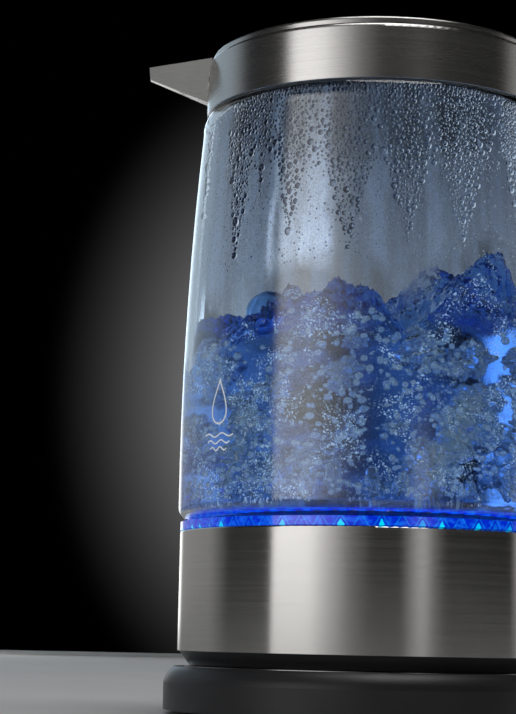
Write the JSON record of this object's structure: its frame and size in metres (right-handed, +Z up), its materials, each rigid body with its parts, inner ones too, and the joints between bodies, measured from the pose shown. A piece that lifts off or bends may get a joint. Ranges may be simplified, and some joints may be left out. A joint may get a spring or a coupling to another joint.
{
  "type": "electric kettle",
  "caption": "Glass electric kettle with a steel collar and band, a faceted light ring, a side handle, a hinged lid and a round swivelling power base.",
  "frame": {"origin": "where the swivel axis meets the surface that the power base stands on", "axes": "+Z up along the swivel axis, +X towards the handle, -X towards the spout, +Y towards the cord entry"},
  "size_m": [0.2298, 0.166, 0.2622],
  "materials": {
    "clear_glass": "clear, polished",
    "blue_acrylic": "clear blue, faceted, lit from below",
    "brushed_steel": "brushed round the axis",
    "zinc_steel": "plain, slightly dull",
    "element_alloy": "heat-darkened",
    "diffuser_aluminium": "rolled",
    "contact_brass": "bright",
    "dark_plastic": "fine matt grain",
    "gloss_dark_plastic": "smooth",
    "chassis_plastic": "natural, unpainted",
    "silicone": "translucent white",
    "foot_rubber": "matt",
    "board_laminate": "coated laminate",
    "lamp_lens": "clear lens"
  },
  "bodies": {
    "power_base": {"base_plate": "dark_plastic", "base_screws": "zinc_steel", "base_shell": "dark_plastic", "base_trim": "brushed_steel", "cord_gland": "foot_rubber", "foot_ring": "foot_rubber", "terminal_block": "dark_plastic"},
    "swivel": {"swivel_tower": "dark_plastic", "tower_contacts": "contact_brass"},
    "kettle": {"arm_screws": "zinc_steel", "bottom_housing": "dark_plastic", "bracket_screw": "zinc_steel", "button_spring": "zinc_steel", "chassis": "chassis_plastic", "collar_frame": "dark_plastic", "control_unit": "dark_plastic", "element_pins": "element_alloy", "filter_frame": "brushed_steel", "filter_mesh": "brushed_steel", "glass_body": "clear_glass", "glass_seal": "silicone", "handle_inner": "dark_plastic", "handle_outer": "dark_plastic", "heat_diffuser": "diffuser_aluminium", "heater_plate": "brushed_steel", "heating_element": "element_alloy", "hinge_lugs": "zinc_steel", "hinge_pin": "zinc_steel", "housing_screws": "zinc_steel", "lamp_board": "board_laminate", "lamps": "lamp_lens", "lid_springs": "zinc_steel", "light_ring": "blue_acrylic", "neck_seal": "silicone", "snap_discs": "zinc_steel", "socket_contacts": "contact_brass", "spout": "brushed_steel", "steam_cutout": "dark_plastic", "steam_tube": "silicone", "steel_band": "brushed_steel", "switch_cover": "dark_plastic", "switch_housing": "dark_plastic", "switch_pin": "zinc_steel", "top_collar": "brushed_steel", "trip_pin": "zinc_steel", "upper_bracket": "zinc_steel"},
    "lid": {"lid_cap": "brushed_steel", "lid_plug": "dark_plastic", "lid_gasket": "silicone", "hinge_leaf": "zinc_steel"},
    "lid_button": {"lid_button": "gloss_dark_plastic"},
    "lid_catch": {"lid_catch": "dark_plastic"},
    "switch_lever": {"switch_lever": "gloss_dark_plastic"},
    "trip_arm": {"trip_arm": "dark_plastic"}
  },
  "joints": [
    {"name": "kettle_swivel", "type": "hinge", "parent": "power_base", "child": "swivel", "pos_m": [0, 0, 0], "axis": [0, 0, 1], "continuous": true},
    {"name": "kettle_lift", "type": "slide", "parent": "swivel", "child": "kettle", "axis": [0, 0, 1], "range_m": [0, 0.08]},
    {"name": "lid_hinge", "type": "hinge", "parent": "kettle", "child": "lid", "pos_m": [0.072, 0, 0.2592], "axis": [0, 1, 0], "range_deg": [0, 80]},
    {"name": "button_press", "type": "slide", "parent": "kettle", "child": "lid_button", "axis": [0, 0, -1], "range_m": [0, 0.0033], "stiffness_N_per_m": 400, "deforming": ["button_spring"]},
    {"name": "catch_slide", "type": "slide", "parent": "kettle", "child": "lid_catch", "axis": [1, 0, 0], "range_m": [0, 0.003]},
    {"name": "switch_rocker", "type": "hinge", "parent": "kettle", "child": "switch_lever", "pos_m": [0.112, 0, 0.046], "axis": [0, 1, 0], "range_deg": [0, 14]},
    {"name": "trip_follow", "type": "hinge", "parent": "kettle", "child": "trip_arm", "pos_m": [0.094, 0, 0.05], "axis": [0, 1, 0], "range_deg": [-11.9, 0]}
  ],
  "couplings": [
    {"joint": "catch_slide", "follows": "button_press", "ratio": 0.909},
    {"joint": "trip_follow", "follows": "switch_rocker", "ratio": -0.85}
  ]
}
